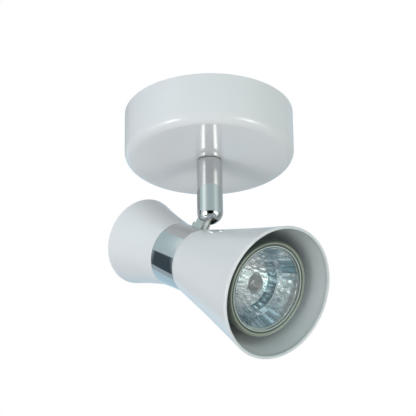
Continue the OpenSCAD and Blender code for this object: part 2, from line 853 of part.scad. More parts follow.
function bowl(r0, r1, u) = r0 + (r1 - r0) * pow(sin(90 * u), 0.85);
function bowl_run(r0, r1, z0, z1) =
    [for (i = [0 : steps]) let (u = i / steps) [bowl(r0, r1, u), z0 + (z1 - z0) * u]];

module lamp_reflector() {
    outer = bowl_run(neck_r, lip_r - 0.4, bowl_from, bowl_to);
    inner = bowl_run(neck_bore, ledge_r, bowl_from + glass_t, face_at - cover_t - 0.2);
    color("lightcyan", 0.6) on_axis() rotate_extrude() polygon(concat(
        [[neck_r, foot_at + core_h]], outer,
        [[lip_r, bowl_to], [lip_r, face_at], [cover_r + seat_play, face_at],
            [cover_r + seat_play, face_at - cover_t - 0.05], [ledge_r, face_at - cover_t - 0.05]],
        back_again(inner), [[neck_bore, foot_at + core_h]]
    ));
}

module lamp_cover() {
    color("lightcyan", 0.3) on_axis() translate([0, 0, face_at - cover_t])
        cylinder(r = cover_r, h = cover_t);
}

module lamp_capsule() {
    low = bowl_from - capsule_sink;
    high = bowl_from + capsule_reach;
    tube_low = low + pinch_len - 1;
    color("white", 0.5) on_axis() rotate([0, 0, capsule_turn]) {
        translate([-pinch_w / 2, -pinch_t / 2, low]) cube([pinch_w, pinch_t, pinch_len]);
        rotate_extrude() {
            translate([0, tube_low]) square([capsule_r, high - tube_low - capsule_r]);
            intersection() {
                translate([0, high - capsule_r]) circle(r = capsule_r);
                translate([0, tube_low]) square([capsule_r + 1, high]);
            }
        }
    }
}

// The foot of the lamp, with a core that fills the reflector's neck and grips the capsule
module lamp_base() {
    color("ivory") on_axis() difference() {
        rotate_extrude() polygon([
            [0, foot_at], [base_r, foot_at], [base_r, foot_at + collar_h],
            [base_r - 1, foot_at + shoulder_h], [neck_r + seat_play, foot_at + shoulder_h],
            [neck_r + seat_play, foot_at + core_h - seat_play],
            [neck_bore - seat_play, foot_at + core_h - seat_play],
            [neck_bore - seat_play, bowl_from], [0, bowl_from]
        ]);
        rotate([0, 0, capsule_turn]) translate([-pinch_w / 2 - seat_play,
            -pinch_t / 2 - seat_play, bowl_from - capsule_sink - seat_play])
            cube([pinch_w + 2 * seat_play, pinch_t + 2 * seat_play, pinch_len]);
        for (side = [-1, 1]) translate([side * pin_pitch / 2, 0, foot_at - 1])
            cylinder(r = pin_neck_r + thread_play, h = 1 + pin_root);
    }
}

module lamp_pins() {
    color("silver") on_axis() for (side = [-1, 1])
        translate([side * pin_pitch / 2, 0, foot_at - pin_len]) {
            cylinder(r = pin_head_r, h = pin_head_len);
            cylinder(r = pin_neck_r, h = pin_len + pin_root - seat_play);
        }
}

canopy();
ceiling_strap();
canopy_hook();
canopy_screw();
terminal_block();
terminal_clamps();
terminal_screws();
block_screws();
earth_screw();
canopy_wires();
pan_bush();
slip_washer();
stop_peg();
stop_washer();
spring_washer();
stem_nut();
lock_nut();
nipple();
cable_gland();
stem();
stem_cable();
pivot_screw();
pivot_spacer();
knuckle_bracket();
head_cable();
waist_band();
rear_cup();
front_shade();
holder_frame();
bracket_screw();
lamp_holder();
holder_screws();
contact_springs();
tie_screw();
lamp_reflector();
lamp_cover();
lamp_capsule();
lamp_base();
lamp_pins();
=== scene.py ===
import json
import math

import bpy
import numpy as np
from mathutils import Matrix


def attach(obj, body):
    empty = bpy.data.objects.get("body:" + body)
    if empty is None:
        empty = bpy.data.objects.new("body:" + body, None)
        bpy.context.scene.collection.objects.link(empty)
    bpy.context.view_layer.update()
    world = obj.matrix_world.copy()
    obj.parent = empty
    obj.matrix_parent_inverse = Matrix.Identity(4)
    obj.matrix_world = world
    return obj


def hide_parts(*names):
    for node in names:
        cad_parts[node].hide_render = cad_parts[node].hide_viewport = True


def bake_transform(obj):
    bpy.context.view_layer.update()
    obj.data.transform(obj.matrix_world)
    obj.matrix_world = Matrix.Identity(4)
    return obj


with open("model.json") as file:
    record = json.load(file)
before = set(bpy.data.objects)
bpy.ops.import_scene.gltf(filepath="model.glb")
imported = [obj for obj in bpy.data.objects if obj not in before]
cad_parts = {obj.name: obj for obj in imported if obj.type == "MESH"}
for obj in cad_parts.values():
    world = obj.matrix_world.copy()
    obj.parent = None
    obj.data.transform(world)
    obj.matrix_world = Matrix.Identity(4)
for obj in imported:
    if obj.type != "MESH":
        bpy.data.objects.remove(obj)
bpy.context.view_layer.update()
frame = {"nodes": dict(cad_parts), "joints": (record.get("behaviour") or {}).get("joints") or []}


# Camera
# The photograph is taken from below, to the left of the head, with a long lens from about 1.2 m.
# Its place and angles come from fitting the outlines of the canopy, waist and shade.
camera_place = (-0.76859, -0.71585, -0.56646)
facing, rise, roll = (math.radians(a) for a in (43.0254, 25.9251, -0.804))
ahead = np.array([math.cos(facing) * math.cos(rise), math.sin(facing) * math.cos(rise), math.sin(rise)])
level = np.array([math.sin(facing), -math.cos(facing), 0.0])
above = np.cross(level, ahead)


def stand(thing, side, up, back, place):
    """Puts a camera or light at a place, with side, up and back as its own x, y and z axes."""
    axes = np.eye(4)
    axes[:3] = np.stack([side, up, back, place], -1)
    bpy.context.scene.collection.objects.link(thing)
    thing.matrix_world = Matrix(axes.tolist())


camera = bpy.data.objects.new("camera", bpy.data.cameras.new("camera"))
camera.data.lens = 192.41
camera.data.sensor_width = 36.0
camera.data.clip_start = 0.05
camera.data.clip_end = 20.0
stand(camera, math.cos(roll) * level + math.sin(roll) * above,
      math.cos(roll) * above - math.sin(roll) * level, -ahead, camera_place)
bpy.context.scene.camera = camera
bpy.context.scene.view_settings.view_transform = "Standard"


# Studio
# A white studio: a softbox with a pale strip above it stands on each side of the camera, and the
# room is grey. The black card under the camera gives the chrome its dark lines.
world = bpy.data.worlds.new("studio")
bpy.context.scene.world = world
world.use_nodes = True
room = world.node_tree
room.nodes.clear()


def linked(tree, kind, *inputs, **settings):
    """A new node with its settings, and each input either linked or set, in order."""
    node = tree.nodes.new(kind)
    for key, value in settings.items():
        setattr(node, key, value)
    for socket, value in zip(node.inputs, inputs):
        if isinstance(value, bpy.types.NodeSocket):
            tree.links.new(value, socket)
        elif value is not None:
            socket.default_value = value
    return node


def reckon(operation, *inputs):
    """One step of arithmetic in the room's nodes."""
    return linked(room, "ShaderNodeMath", *inputs, operation=operation).outputs[0]


def along_direction(axis):
    """The dot product of the looked-at direction with a fixed axis."""
    dot = linked(room, "ShaderNodeVectorMath", ray, tuple(axis), operation="DOT_PRODUCT")
    return dot.outputs["Value"]


def in_degrees(angle):
    """An angle of the room's nodes, from radians."""
    return reckon("MULTIPLY", angle, math.degrees(1))


def turned(aside, onward):
    """The angle of the looked-at direction from the onward axis towards the one aside."""
    return in_degrees(reckon("ARCTAN2", along_direction(aside), along_direction(onward)))


def within(angle, low, high, soft):
    """1 where the angle lies between low and high, falling to 0 over soft degrees, smoothly."""
    away = reckon("ABSOLUTE", reckon("WRAP", reckon("SUBTRACT", angle, (low + high) / 2), 180.0, -180.0))
    half = (high - low) / 2
    return linked(room, "ShaderNodeMapRange", away, half - soft / 2, half + soft / 2, 1.0, 0.0,
                  interpolation_type="SMOOTHSTEP").outputs[0]


def bell(angle, middle, spread):
    """exp(-((angle - middle) / spread)^2 / 2)."""
    steps = reckon("DIVIDE", reckon("SUBTRACT", angle, middle), spread)
    return reckon("EXPONENT", reckon("MULTIPLY", reckon("MULTIPLY", steps, steps), -0.5))


# Directions in the room: bearing from the camera and height, in degrees. The head's tail points
# at the wall behind, and turn and spread are the same two angles about that line.
twist = next(j for j in frame["joints"] if j["name"] == "lamp_twist")
head_ahead = np.array(twist["axis"])
head_up = np.cross(head_ahead, [1.0, 0.0, 0.0])
ray = linked(room, "ShaderNodeTexCoord").outputs["Generated"]
towards = np.array([camera_place[0], camera_place[1], 0.0]) / math.hypot(*camera_place[:2])
room_angles = (turned(level, towards), in_degrees(reckon("ARCSINE", along_direction((0, 0, 1)))))
tail_angles = (turned((-1, 0, 0), head_up), in_degrees(reckon("ARCCOSINE", along_direction(-head_ahead))))

# Panels of the room: which angles, first range, second range, soft edge, colour
shade_of_room = linked(room, "ShaderNodeRGB").outputs[0]
shade_of_room.default_value = (0.49, 0.595, 0.62, 1.0)
for angles, first, second, soft, colour in (
    (room_angles, (-125, -62), (-12, 62), 9, (0.51, 0.64, 0.67)),
    (room_angles, (88, 152), (-30, 62), 14, (0.42, 0.475, 0.49)),
    (room_angles, (-190, 190), (64, 120), 5, (0.49, 0.55, 0.60)),
    (tail_angles, (-80, -50), (26, 70), 9, (0.50, 0.59, 0.68)),
    (tail_angles, (-42, -20), (26, 70), 9, (0.37, 0.44, 0.49)),
    (tail_angles, (166, 186), (26, 70), 5, (0.41, 0.50, 0.55)),
    (tail_angles, (186, 262), (26, 70), 9, (0.53, 0.72, 0.84)),
    (tail_angles, (-10, 370), (-27, 27), 7, (0.35, 0.37, 0.38)),
    (tail_angles, (108, 166), (32, 49), 5, (0.060, 0.083, 0.100)),
    (room_angles, (-190, 190), (-100, -38), 5, (0.38, 0.395, 0.40)),
    (room_angles, (97, 121), (-36, 2), 6, (0.26, 0.28, 0.28)),
    (room_angles, (-33, 34), (-40, -10), 4, (0.003, 0.003, 0.003)),
):
    mask = reckon("MULTIPLY", within(angles[0], *first, soft), within(angles[1], *second, soft))
    layer = linked(room, "ShaderNodeMix", mask, data_type="RGBA")
    room.links.new(shade_of_room, layer.inputs[6])
    layer.inputs[7].default_value = (*colour, 1.0)
    shade_of_room = layer.outputs[2]

# Lit panels: middle and spread of the bearing, range of the height, soft edge, radiance, colour
cool, plain, warm = (0.96, 1.0, 1.0), (1.0, 1.0, 1.0), (1.0, 1.02, 0.92)
lit = linked(room, "ShaderNodeBackground", shade_of_room, 1.0).outputs[0]
for middle, spread, heights, soft, radiance, colour in (
    (-54, 14, (-12, 75), 6, 0.60, cool),
    (54, 12, (-12, 75), 6, 0.28, (1.0, 1.03, 0.92)),
    (-51, 8, (-38, -14), 4, 6.6, plain),
    (-66, 16, (-38, -14), 4, 1.15, plain),
    (56, 9, (-33, -13), 4, 5.8, warm),
    (66, 12, (-33, -13), 4, 0.9, warm),
):
    share = reckon("MULTIPLY", bell(room_angles[0], middle, spread), within(room_angles[1], *heights, soft))
    shine = linked(room, "ShaderNodeBackground", (*colour, 1.0), reckon("MULTIPLY", share, radiance))
    lit = linked(room, "ShaderNodeAddShader", lit, shine.outputs[0]).outputs[0]
white = linked(room, "ShaderNodeBackground", (1.0, 1.0, 1.0, 1.0), 1.0)
seen = linked(room, "ShaderNodeLightPath").outputs["Is Camera Ray"]
both = linked(room, "ShaderNodeMixShader", seen, lit, white.outputs[0])
linked(room, "ShaderNodeOutputWorld", both.outputs[0])


def panel_light(name, place, aim, size, power):
    """A square white light at a place, turned towards a point. Gloss doesn't show it."""
    data = bpy.data.lights.new(name, "AREA")
    data.shape = "RECTANGLE"
    data.size = data.size_y = size
    data.energy = power
    light = bpy.data.objects.new(name, data)
    light.visible_glossy = False
    back = np.array(place, float) - np.array(aim, float)
    back /= np.linalg.norm(back)
    side = np.cross([0.0, 0.0, 1.0], back)
    side /= np.linalg.norm(side)
    stand(light, side, np.cross(back, side), back, place)


panel_light("overhead_light", (0.3, 0.4, 0.75), (0, 0, -0.05), 0.9, 0.5)
panel_light("under_light", (-0.35, -0.35, -0.95), (0, 0, -0.05), 0.9, 1.45)
panel_light("front_light", (-0.6, -0.5, -0.7), (0, -0.04, -0.11), 0.5, 0.42)


# Floor
# A pale painted floor far below the fitting. It is part of the studio and not of the object.
floor_radius, floor_at, floor_sides = 950.0, -980.0, 96


def piece(name, points, *faces):
    """A mesh from points in millimetres and arrays of faces, each with its own number of corners.
    Corners that repeat in a face are dropped, so a pole closes in triangles."""
    mesh = bpy.data.meshes.new(name)
    groups = []
    for group in faces:
        group = np.asarray(group, int)
        if group.shape[1] == 4:
            first, last = group[:, 0] == group[:, 1], group[:, 2] == group[:, 3]
            groups += [group[first][:, [0, 2, 3]], group[last][:, [0, 1, 2]], group[~first & ~last]]
        else:
            groups.append(group)
    groups = [g for g in groups if len(g)]
    used, corners = np.unique(np.concatenate([g.ravel() for g in groups]), return_inverse=True)
    counts = np.concatenate([np.full(len(g), g.shape[1]) for g in groups])
    mesh.vertices.add(len(used))
    mesh.vertices.foreach_set("co", (np.asarray(points, float)[used] * 0.001).astype(np.float32).ravel())
    mesh.loops.add(len(corners))
    mesh.loops.foreach_set("vertex_index", corners.astype(np.int32).ravel())
    mesh.polygons.add(len(counts))
    mesh.polygons.foreach_set("loop_start", (np.cumsum(counts) - counts).astype(np.int32))
    mesh.update(calc_edges=True)
    mesh.validate()
    made = bpy.data.objects.new(name, mesh)
    bpy.context.scene.collection.objects.link(made)
    return made


def finish(name, colour, roughness, metallic=0.0, grain=600.0, spread=0.03, rough_spread=0.25,
           relief=0.0, relief_scale=2500.0, **sockets):
    """A coating or metal: a fine noise in object space shifts colour and roughness a little, and a
    second one lifts the surface by relief, in metres. Other values go on the shader's sockets."""
    made = bpy.data.materials.new(name)
    made.use_nodes = True
    tree = made.node_tree
    shader = tree.nodes["Principled BSDF"]
    place = linked(tree, "ShaderNodeTexCoord").outputs["Object"]
    cloud = linked(tree, "ShaderNodeTexNoise", place)
    for key, value in (("Scale", grain), ("Detail", 3.0), ("Roughness", 0.55)):
        cloud.inputs[key].default_value = value
    ramp = linked(tree, "ShaderNodeValToRGB", cloud.outputs["Fac"])
    for stop, position, factor in ((0, 0.25, 1.0 - spread), (1, 0.75, 1.0 + spread)):
        ramp.color_ramp.elements[stop].position = position
        shifted = [min(1.0, c * factor) for c in colour]
        ramp.color_ramp.elements[stop].color = (*shifted, 1.0)
    tree.links.new(ramp.outputs["Color"], shader.inputs["Base Color"])
    rough = linked(tree, "ShaderNodeMapRange", cloud.outputs["Fac"], 0.3, 0.7,
                   roughness * (1 - rough_spread), roughness * (1 + rough_spread))
    tree.links.new(rough.outputs[0], shader.inputs["Roughness"])
    shader.inputs["Metallic"].default_value = metallic
    if relief:
        fine = linked(tree, "ShaderNodeTexNoise", place)
        for key, value in (("Scale", relief_scale), ("Detail", 2.0)):
            fine.inputs[key].default_value = value
        bump = linked(tree, "ShaderNodeBump")
        bump.inputs["Strength"].default_value = 1.0
        bump.inputs["Distance"].default_value = relief
        tree.links.new(fine.outputs["Fac"], bump.inputs["Height"])
        tree.links.new(bump.outputs["Normal"], shader.inputs["Normal"])
    for key, value in sockets.items():
        shader.inputs[key.replace("_", " ")].default_value = value
    return made


floor_turns = np.linspace(0, 2 * np.pi, floor_sides, endpoint=False)
floor_edge = np.stack([floor_radius * np.cos(floor_turns), floor_radius * np.sin(floor_turns),
                       np.full(floor_sides, floor_at)], -1)
floor = piece("studio_floor", floor_edge, np.arange(floor_sides)[None])
floor.data.materials.append(finish("pale_floor", (0.62, 0.63, 0.63), 0.6, grain=6.0, spread=0.01))


# Ceiling strap, terminal block and wiring
# Plated strip steel that is screwed to the ceiling, a three-pole block of moulded plastic with
# brass clamps, and two short wires. The other plated, brass and plastic small parts match them.
def dress(material, *names):
    """Gives carried-over nodes one finish."""
    for name in names:
        slots = frame["nodes"][name].data.materials
        slots.clear()
        slots.append(material)


dress(finish("zinc_plate", (0.66, 0.68, 0.69), 0.3, 1.0, grain=900.0, spread=0.08, relief=4e-6),
      "ceiling_strap", "canopy_hook", "terminal_screws", "block_screws", "stop_peg", "stop_washer",
      "holder_frame", "bracket_screw", "holder_screws", "tie_screw", "lamp_pins")
dress(finish("block_plastic", (0.86, 0.84, 0.78), 0.45, grain=800.0, relief=6e-6),
      "terminal_block", "cable_gland")
dress(finish("turned_brass", (0.76, 0.58, 0.27), 0.28, 1.0, grain=1200.0, spread=0.08, relief=3e-6),
      "terminal_clamps", "earth_screw", "stem_nut", "lock_nut", "nipple", "pivot_spacer", "contact_springs")
dress(finish("wire_plastic", (0.80, 0.80, 0.78), 0.4, grain=1500.0, relief=4e-6), "canopy_wires")
dress(finish("pressed_fibre", (0.33, 0.22, 0.13), 0.75, grain=2500.0, spread=0.2, relief=2e-5),
      "slip_washer")
dress(finish("spring_steel", (0.25, 0.26, 0.28), 0.35, 1.0, grain=1500.0, spread=0.1), "spring_washer")


# Canopy
# A cup deep-drawn from steel sheet with a rounded lower edge, then enamelled gloss white. It hangs
# on the strap's hook at one side and on one screw at the other.
canopy_radius, canopy_height, canopy_edge, canopy_bore = 45.0, 27.7, 4.9, 6.0
canopy_screw_down, canopy_screw_hole = 10.0, 2.2
sheet = 1.0


def rounded(corners, closed=True):
    """A line through corners given as (radius, height, fillet): each corner becomes an arc that
    touches both sides, with its centre on their bisector."""
    corners = np.asarray(corners, float)
    spots = corners[:, :2]
    out = []
    for k, (spot, fillet) in enumerate(zip(spots, corners[:, 2])):
        if fillet <= 0 or (not closed and k in (0, len(spots) - 1)):
            out.append(spot[None])
            continue
        back = spots[k - 1] - spot
        on = spots[(k + 1) % len(spots)] - spot
        back, on = back / np.linalg.norm(back), on / np.linalg.norm(on)
        half = math.acos(np.clip(back @ on, -1, 1)) / 2
        reach = fillet / math.tan(half)
        middle = spot + (back + on) / np.linalg.norm(back + on) * fillet / math.sin(half)
        a, b = spot + back * reach - middle, spot + on * reach - middle
        sweep = math.pi - 2 * half
        steps = max(4, int(round(sweep * fillet * 4)) + 3)
        t = np.linspace(0, 1, steps)[:, None]
        out.append(middle + (np.sin((1 - t) * sweep) * a + np.sin(t * sweep) * b) / math.sin(sweep))
    return np.concatenate(out)


def spun(line, turns):
    """A line of (radius, height) carried round the axis: ring j stands at (r cos a, r sin a, z).
    It closes in two poles if it begins on the axis, and otherwise in itself."""
    r, z = np.asarray(line, float).T
    a = np.arange(turns) * 2 * np.pi / turns
    points = np.stack([np.outer(r, np.cos(a)), np.outer(r, np.sin(a)), np.repeat(z[:, None], turns, 1)], -1)
    rows = np.arange(len(r) * turns).reshape(len(r), turns)
    if r[0] < 1e-6:
        rows[0], rows[-1] = rows[0, 0], rows[-1, 0]
    else:
        rows = np.vstack([rows, rows[:1]])
    nexts = np.roll(rows, -1, 1)
    faces = np.stack([rows[:-1], nexts[:-1], nexts[1:], rows[1:]], -1).reshape(-1, 4)
    return points.reshape(-1, 3), faces


def stacked(rings):
    """Outlines of equal count joined in order, with a flat face on the first and the last."""
    layers, count, _ = rings.shape
    rows = np.arange(layers * count).reshape(layers, count)
    nexts = np.roll(rows, -1, 1)
    sides = np.stack([rows[:-1], nexts[:-1], nexts[1:], rows[1:]], -1).reshape(-1, 4)
    return rings.reshape(-1, 3), sides, rows[:1, ::-1], rows[-1:]


def rod(start, end, radius, turns=64):
    """A plain round rod between two points: its rings lie square to the line between them."""
    start, end = np.array(start, float), np.array(end, float)
    run = (end - start) / np.linalg.norm(end - start)
    side = np.cross(run, [0.31, 0.52, 0.79])
    side /= np.linalg.norm(side)
    up = np.cross(run, side)
    a = np.arange(turns)[:, None] * 2 * np.pi / turns
    ring = radius * (np.cos(a) * side + np.sin(a) * up)
    return stacked(np.stack([start + ring, end + ring]))


def cut(made, *cutters):
    """Takes cutters out of a piece, one after another, and leaves a plain mesh."""
    for number, shape in enumerate(cutters):
        cutter = piece(f"cutter_{number}", *shape)
        bite = made.modifiers.new("cut", "BOOLEAN")
        bite.operation, bite.solver, bite.object = "DIFFERENCE", "EXACT", cutter
        bpy.context.view_layer.update()
        graph = bpy.context.evaluated_depsgraph_get()
        result = bpy.data.meshes.new_from_object(made.evaluated_get(graph))
        made.modifiers.clear()
        made.data = result
        bpy.data.objects.remove(cutter)
    made.data.name = made.name


def smooth(made, angle=32.0):
    """Soft shading that breaks at edges sharper than the angle."""
    made.data.shade_smooth()
    made.data.set_sharp_from_angle(angle=math.radians(angle))


enamel = finish("white_enamel", (0.765, 0.745, 0.755), 0.05, grain=90.0, spread=0.006, rough_spread=0.1,
                relief=1e-6, relief_scale=300.0, IOR=1.55)
canopy_line = rounded([
    (canopy_bore, -canopy_height, 0.15), (canopy_radius, -canopy_height, canopy_edge),
    (canopy_radius, 0.0, 0.35), (canopy_radius - sheet, 0.0, 0.35),
    (canopy_radius - sheet, sheet - canopy_height, canopy_edge - sheet),
    (canopy_bore, sheet - canopy_height, 0.15),
])
canopy = piece("canopy_shell", *spun(canopy_line, 256))
cut(canopy, rod((canopy_radius - 5, 0, -canopy_screw_down), (canopy_radius + 3, 0, -canopy_screw_down),
                canopy_screw_hole))
smooth(canopy)
canopy.data.materials.append(enamel)
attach(canopy, "base")
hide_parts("canopy")
dress(enamel, "canopy_screw")


# Pan bush
# A turned and chromed ring under the canopy, on which the stem turns. The stem's top is turned
# down a little, which leaves a fine groove between the two; the groove gets the stem's near-black painted
# shade.
chrome = finish("polished_chrome", (0.645, 0.65, 0.652), 0.03, 1.0, grain=300.0, spread=0.01,
                rough_spread=0.2, relief=3e-8, relief_scale=300.0)
dress(chrome, "pan_bush")


# Stem
# Turned from steel bar with a round end, slotted from below and behind for the knuckle's ears, then
# polished and chromed. The slot's walls, the bores and the top groove are painted near-black as
# painted shade. The nipple screws into its top.
stem_radius, stem_top, pivot = 6.8, -28.55, -58.2
groove_high, groove_deep = 0.35, 0.6
nipple_bore, nipple_deep, cable_bore = 5.02, 12.0, 3.0
slot_half, slot_middle, slot_front, cavity = 2.5, -0.5, 3.9, 4.5
slot_behind, slot_below = 12.0, 10.0
step_out, step_from, step_to = 0.35, 1.4, 2.2
pocket_radius, pocket_from, pocket_to = 2.9, 4.3, 9.0
screw_radius, screw_from, screw_to = 1.52, -6.0, 5.0
# Near-black finish for the faces inside the stem: painted shade.
painted_shade_steel = finish("slot_walls_painted_shade", (0.035, 0.035, 0.037), 0.35, 0.7, grain=1500.0, spread=0.15, relief=2e-6)


def divided(line, longest, steps):
    """The same line, with each stretch that is higher than longest cut into equal steps."""
    t = np.linspace(0, 1, steps, endpoint=False)[:, None]
    parts = [a + (b - a) * t if abs(b[1] - a[1]) > longest else a[None] for a, b in zip(line[:-1], line[1:])]
    return np.concatenate(parts + [line[-1:]])


def across_x(outline, low, high, bevel=0.0):
    """A plate: an outline of (y, z) stood from x = low to x = high. A bevel moves the rims of its two
    sides along the outline's normals: inwards, or outwards where the outline runs clockwise, and
    then the faces point inwards too."""
    outline = np.asarray(outline, float)
    edges = np.roll(outline, -1, 0) - outline, outline - np.roll(outline, 1, 0)
    normal = [np.stack([e[:, 1], -e[:, 0]], -1) / np.linalg.norm(e, axis=1)[:, None] for e in edges]
    out = normal[0] + normal[1]
    out /= np.maximum(1e-9, (out * normal[0]).sum(1))[:, None]
    layers = [(low, 0), (high, 0)]
    if bevel:
        layers = [(low, bevel), (low + bevel, 0), (high - bevel, 0), (high, bevel)]
    rings = [np.insert(outline - out * inset, 0, x, axis=1) for x, inset in layers]
    return stacked(np.stack(rings))


def face_values(made, kind):
    """The center or normal of every face, as rows of three."""
    values = np.empty(len(made.data.polygons) * 3, np.float32)
    made.data.polygons.foreach_get(kind, values)
    return values.reshape(-1, 3)


dome = np.linspace(0, np.pi / 2, 40)
groove_radius = stem_radius - groove_deep
stem_line = divided(np.concatenate([
    np.stack([stem_radius * np.sin(dome), pivot - stem_radius * np.cos(dome)], -1),
    rounded([(stem_radius, pivot, 0), (stem_radius, stem_top - groove_high, 0.15),
             (groove_radius, stem_top - groove_high, 0.05), (groove_radius, stem_top, 0.05),
             (nipple_bore, stem_top, 0.1), (nipple_bore, stem_top - nipple_deep, 0.1),
             (cable_bore, stem_top - nipple_deep, 0.1), (cable_bore, pivot + 1, 0)], closed=False)[1:],
    [[0.0, pivot + 1]],
]), 9.0, 24)
bend = np.linspace(np.pi / 2, np.pi, 32)[:, None]
slot_side = np.concatenate([
    [[slot_behind, pivot - slot_below], [slot_behind, pivot + cavity], [0.0, pivot + cavity]],
    np.hstack([cavity * np.cos(bend), pivot + cavity * np.sin(bend)])[1:],
    [[-slot_front - step_out, pivot - step_from], [-slot_front, pivot - step_to],
     [-slot_front, pivot - slot_below]],
])
stem = piece("stem_turned", *spun(stem_line, 224))
cut(stem, across_x(slot_side, slot_middle - slot_half, slot_middle + slot_half),
    rod((pocket_from, 0, pivot), (pocket_to, 0, pivot), pocket_radius),
    rod((screw_from, 0, pivot), (screw_to, 0, pivot), screw_radius))
smooth(stem)
stem.data.materials.append(chrome)
stem.data.materials.append(painted_shade_steel)
# Faces inside the stem's round (the slot's walls, the bores and the top groove) get the painted shade.
middles = face_values(stem, "center") * 1000
below_pivot = np.minimum(middles[:, 2] - pivot, 0)
from_middle = np.linalg.norm(np.stack([middles[:, 0], middles[:, 1], below_pivot]), axis=0)
painted_shade_faces = (from_middle < stem_radius - 0.03) & (below_pivot > 0.1 - stem_radius)
stem.data.polygons.foreach_set("material_index", painted_shade_faces.astype(np.int32))
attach(stem, "stem")
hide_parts("stem")
dress(chrome, "pivot_screw")


# Knuckle bracket
# Two ears and a web bent from plated sheet. The ears turn in the stem's slot and the web is
# screwed to the frame inside the waist.
ear_thick, ear_gap, near_front, far_front = 1.0, 2.8, 0.8, 2.0
ear_round, ear_back, foot_back, foot_from, foot_end = 4.1, 4.2, 6.2, 7.9, 12.41
web_half, web_under, web_thick, web_from, web_to = 2.4, 14.585, 1.0, -6.5, 2.6
head_origin = np.array(twist["pos_m"]) * 1000


def on_head(points):
    """Points of the head's own frame, (across, up, along its axis), in the row frame."""
    across, up, along = np.split(np.asarray(points, float), 3, axis=-1)
    return head_origin + across * [1.0, 0.0, 0.0] + up * head_up + along * head_ahead


def from_pivot(ahead_up):
    """(ahead, above) of the tilt axis, on the head, as (y, z) in the row frame."""
    ahead_of, above_it = np.split(np.asarray(ahead_up, float), 2, axis=-1)
    return np.array([0.0, pivot]) + ahead_of * head_ahead[1:] + above_it * head_up[1:]


def ear(front):
    """Ahead and above of the tilt axis: a round head, and a neck that ends in a wider foot."""
    meet = math.asin(front / ear_round)
    bow = np.linspace(meet - np.pi / 2, np.pi, 60)
    return np.concatenate([
        np.stack([ear_round * np.cos(bow), ear_round * np.sin(bow)], -1),
        [[-ear_back, -0.2], [-ear_back, -foot_from], [-foot_back, -foot_from],
         [-foot_back, -foot_end], [front, -foot_end]],
    ])


def box_on_head(low, high):
    """A box in the head's frame between two opposite corners."""
    (x0, y0, z0), (x1, y1, z1) = low, high
    ring = [(x0, y0), (x1, y0), (x1, y1), (x0, y1)]
    points, *faces = stacked(np.array([[(x, y, z) for x, y in ring] for z in (z0, z1)], float))
    return (on_head(points), *faces)


def joined(name, shapes):
    """Several closed shapes in one mesh, each with its own faces."""
    points, groups, base = [], [], 0
    for shape in shapes:
        points.append(shape[0])
        groups += [np.asarray(f) + base for f in shape[1:]]
        base += len(shape[0])
    return piece(name, np.concatenate(points), *groups)


near_face, far_face = slot_middle - ear_gap / 2, slot_middle + ear_gap / 2
bracket = joined("knuckle_bracket_plates", [
    across_x(from_pivot(ear(near_front)), near_face - ear_thick, near_face, 0.1),
    across_x(from_pivot(ear(far_front)), far_face, far_face + ear_thick, 0.1),
    box_on_head((slot_middle - web_half, web_under, web_from),
                (slot_middle + web_half, web_under + web_thick, web_to)),
])
smooth(bracket, 20)
bracket.data.materials.append(
    finish("knuckle_plate", (0.62, 0.63, 0.60), 0.27, 1.0, grain=700.0, spread=0.06, relief=2e-6))
# A near-black finish for some edges: painted shade.
bracket.data.materials.append(finish("painted_shade_edge", (0.06, 0.06, 0.06), 0.2, 1.0, grain=1500.0, spread=0.2))
# Near-black painted shade on edges: the web's front, and the ears' rear, because their outline runs
# clockwise
painted_shade_edges = face_values(bracket, "normal") @ head_ahead > 0.6
bracket.data.polygons.foreach_set("material_index", painted_shade_edges.astype(np.int32))
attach(bracket, "head")
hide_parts("knuckle_bracket")


# Lamp cable
# A soft light sleeve with the lamp's two wires. It comes down the hollow stem, bends between the
# ears ahead of the spacer and goes into the side of the lamp holder.
cable_radius, cable_side = 0.98, slot_middle + 0.32
stem_run = [(0, 0, -15.75), (0, 0, -26), (0, 0, -38), (0, 0, -47.5), (-0.02, -0.15, -51.5),
            (-0.1, -1.0, -54.3), (-0.2, -2.35, -56.6)]
head_run = [(2.96, 1.08), (3.15, 0.0), (3.0, -1.08), (2.6, -2.02), (2.05, -3.1), (1.65, -4.2),
            (1.42, -5.5), (1.32, -7.6), (1.3, -12.0), (1.3, -16.95)]


def tube(path, radius, turns=24):
    """Rings square to a path, drawn with one fixed side direction, closed at both ends."""
    run = np.gradient(path, axis=0)
    run /= np.linalg.norm(run, axis=1)[:, None]
    side = np.cross(run, [1.0, 0.0, 0.0])
    side /= np.linalg.norm(side, axis=1)[:, None]
    up = np.cross(run, side)
    a = np.arange(turns)[None, :, None] * 2 * np.pi / turns
    return stacked(path[:, None] + radius * (np.cos(a) * side[:, None] + np.sin(a) * up[:, None]))


def eased(points, count):
    """A smooth line through points: a cubic through each four neighbours, evenly stepped."""
    padded = np.vstack([2 * points[0] - points[1], points, 2 * points[-1] - points[-2]])
    t = np.linspace(0, len(points) - 1 - 1e-9, count)
    k, u = t.astype(int), (t % 1)[:, None]
    p0, p1, p2, p3 = (padded[k + i] for i in range(4))
    square, cube = 2 * p0 - 5 * p1 + 4 * p2 - p3, 3 * p1 - p0 - 3 * p2 + p3
    return 0.5 * (2 * p1 + (p2 - p0) * u + square * u ** 2 + cube * u ** 3)


cable_path = eased(np.vstack([stem_run, np.insert(from_pivot(head_run), 0, cable_side, axis=1)]), 150)
cable = piece("lamp_cable_sleeve", *tube(cable_path, cable_radius))
smooth(cable, 50)
cable.data.materials.append(finish("cable_sleeve", (0.90, 0.90, 0.86), 0.42, grain=1500.0, relief=8e-6,
                                   relief_scale=5000.0, Subsurface_Weight=0.05))
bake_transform(cable)
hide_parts("stem_cable", "head_cable")


# Waist band
# A short chromed sleeve with rolled edges. It is clamped between the shade and the cup, and its
# slot lets the knuckle's foot through.
band_radius, band_half = 17.0, 9.6
band_slot_half, band_slot_from, band_slot_to = 2.6, -3.6, 7.6


def spun_on_head(line, turns):
    """The same turned shape as spun, on the head's axis."""
    points, faces = spun(line, turns)
    return on_head(points), faces


